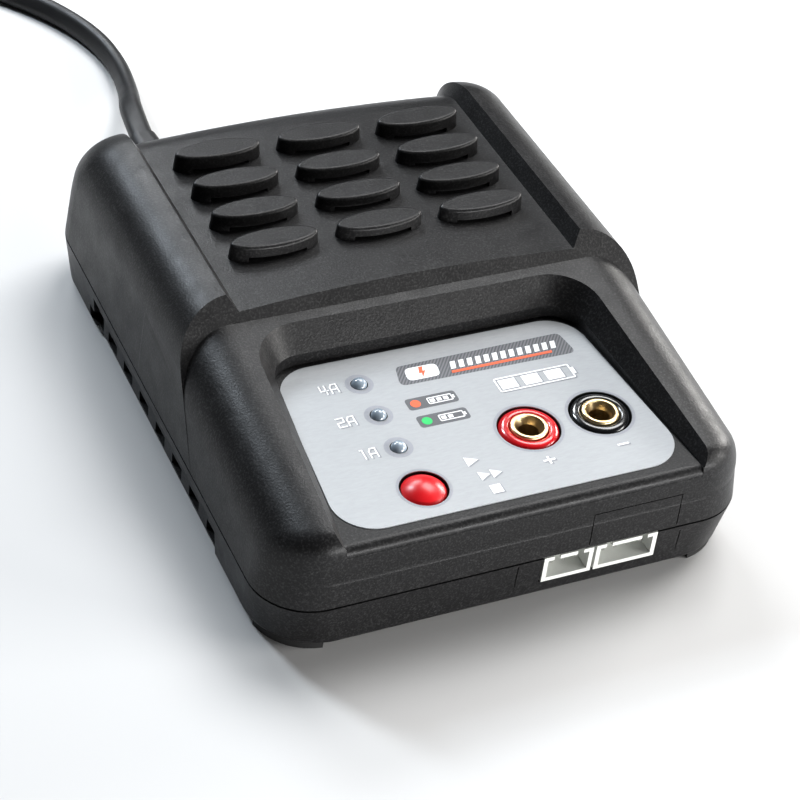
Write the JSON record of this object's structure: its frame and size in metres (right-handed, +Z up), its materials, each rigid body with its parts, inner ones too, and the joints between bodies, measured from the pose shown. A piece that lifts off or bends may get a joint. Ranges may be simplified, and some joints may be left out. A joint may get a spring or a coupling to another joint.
{
  "type": "balance battery charger",
  "caption": "Mains balance charger for model batteries: dark stepped case with hooded vents, silver panel with lamps, start button and banana sockets, balance ports, flat cord with plug.",
  "frame": {"origin": "on the standing plane, under the centre of the case", "axes": "+X right seen from the front, +Y to the back where the cord leaves, +Z up"},
  "size_m": [0.1163, 0.2951, 0.0366],
  "materials": {
    "case_plastic": "fine grain, dark grey",
    "foot_rubber": "matte",
    "screw_steel": "zinc plated",
    "plate_film": "blank silver film",
    "label_metal": "fine brushed, silver",
    "lamp_lens": "clear grey lens",
    "tinned_metal": "tinned or nickel plated",
    "button_red": "smooth red",
    "component_black": "moulded",
    "spring_steel": "bright wire",
    "collar_red": "glossy red",
    "collar_black": "glossy black",
    "contact_brass": "turned, pale gold",
    "header_nylon": "off-white nylon",
    "board_laminate": "green laminate",
    "insulator_film": "fish paper",
    "ferrite": "sintered, dull",
    "bobbin_yellow": "taped winding",
    "capacitor_sleeve": "dark sleeve",
    "sink_aluminium": "extruded",
    "film_case": "moulded box",
    "fuse_glass": "clear tube",
    "terminal_plastic": "moulded",
    "wire_jacket": "smooth",
    "cord_jacket": "soft dark grey jacket",
    "plug_plastic": "moulded black"
  },
  "bodies": {
    "case": {"balance_chip": "component_black", "balance_resistors": "component_black", "board_screws": "screw_steel", "bridge_rectifier": "component_black", "bulk_capacitor": "capacitor_sleeve", "control_label": "label_metal", "controller_chip": "component_black", "cord": "cord_jacket", "cord_coil": "cord_jacket", "cord_tail": "cord_jacket", "film_capacitor": "film_case", "fuse": "fuse_glass", "header_board": "board_laminate", "header_pins_3pin": "tinned_metal", "header_pins_4pin": "tinned_metal", "header_shroud_3pin": "header_nylon", "header_shroud_4pin": "header_nylon", "heat_sink_output": "sink_aluminium", "heat_sink_primary": "sink_aluminium", "housing_screws": "screw_steel", "insulating_sheet": "insulator_film", "led_high": "lamp_lens", "led_leads": "tinned_metal", "led_low": "lamp_lens", "led_mid": "lamp_lens", "link_header": "component_black", "lower_shell": "case_plastic", "main_board": "board_laminate", "mains_choke": "ferrite", "mains_terminal": "terminal_plastic", "mains_wires": "wire_jacket", "output_capacitors": "capacitor_sleeve", "panel_board": "board_laminate", "panel_screws": "screw_steel", "plug_body": "plug_plastic", "plug_pins": "tinned_metal", "power_transistor": "component_black", "rating_plate": "plate_film", "rectifier_diode": "component_black", "rubber_feet": "foot_rubber", "socket_collar_neg": "collar_black", "socket_collar_pos": "collar_red", "socket_contact_neg": "contact_brass", "socket_contact_pos": "contact_brass", "socket_lugs": "tinned_metal", "socket_nuts": "contact_brass", "strain_relief": "cord_jacket", "switch_body": "component_black", "switch_spring": "spring_steel", "transformer_bobbin": "bobbin_yellow", "transformer_core": "ferrite", "upper_shell": "case_plastic"},
    "button": {"button_cap": "button_red", "switch_plunger": "component_black"}
  },
  "joints": [
    {"name": "button_press", "type": "slide", "parent": "case", "child": "button", "axis": [0, 0, -1], "range_m": [0, 0.0012], "stiffness_N_per_m": 600, "springref_m": -0.001, "deforming": ["switch_spring"]}
  ]
}
